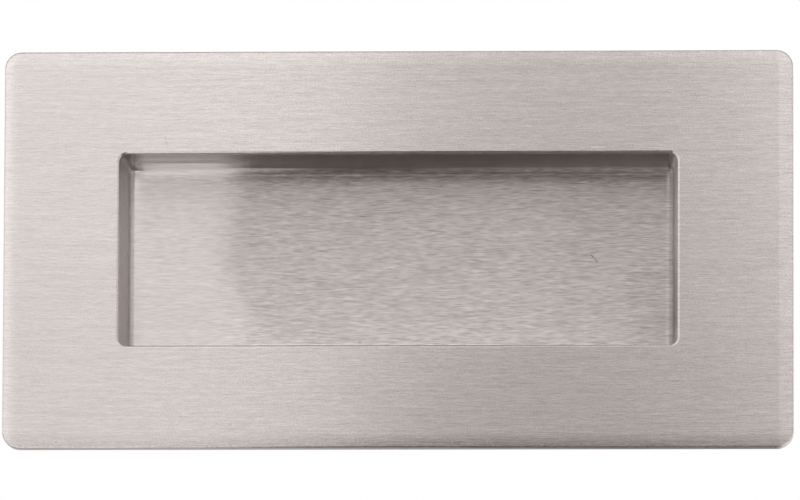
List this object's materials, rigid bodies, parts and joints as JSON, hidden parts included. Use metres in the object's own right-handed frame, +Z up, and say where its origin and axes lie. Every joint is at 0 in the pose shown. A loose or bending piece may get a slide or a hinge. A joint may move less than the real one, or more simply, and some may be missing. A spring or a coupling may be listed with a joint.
{
  "type": "recessed pull handle",
  "caption": "Rectangular brushed steel flush pull: a flat flange plate with a shallow drafted finger recess, fixed from behind by threaded bosses.",
  "frame": {"origin": "centre of the flange's back face, in the plane that seats on the door", "axes": "+X to the right and +Z up as seen from the front, +Y from the flange's back face into the door; the brushed face looks along -Y"},
  "size_m": [0.12, 0.013, 0.0606],
  "materials": {
    "brushed_face": "fine horizontal satin brushing",
    "brushed_tray": "coarse short horizontal satin brushing",
    "turned_boss": "turned, with fine rings"
  },
  "bodies": {
    "root": {"face_plate": "brushed_face", "recess_tray": "brushed_tray", "left_boss": "turned_boss", "right_boss": "turned_boss"}
  },
  "joints": []
}
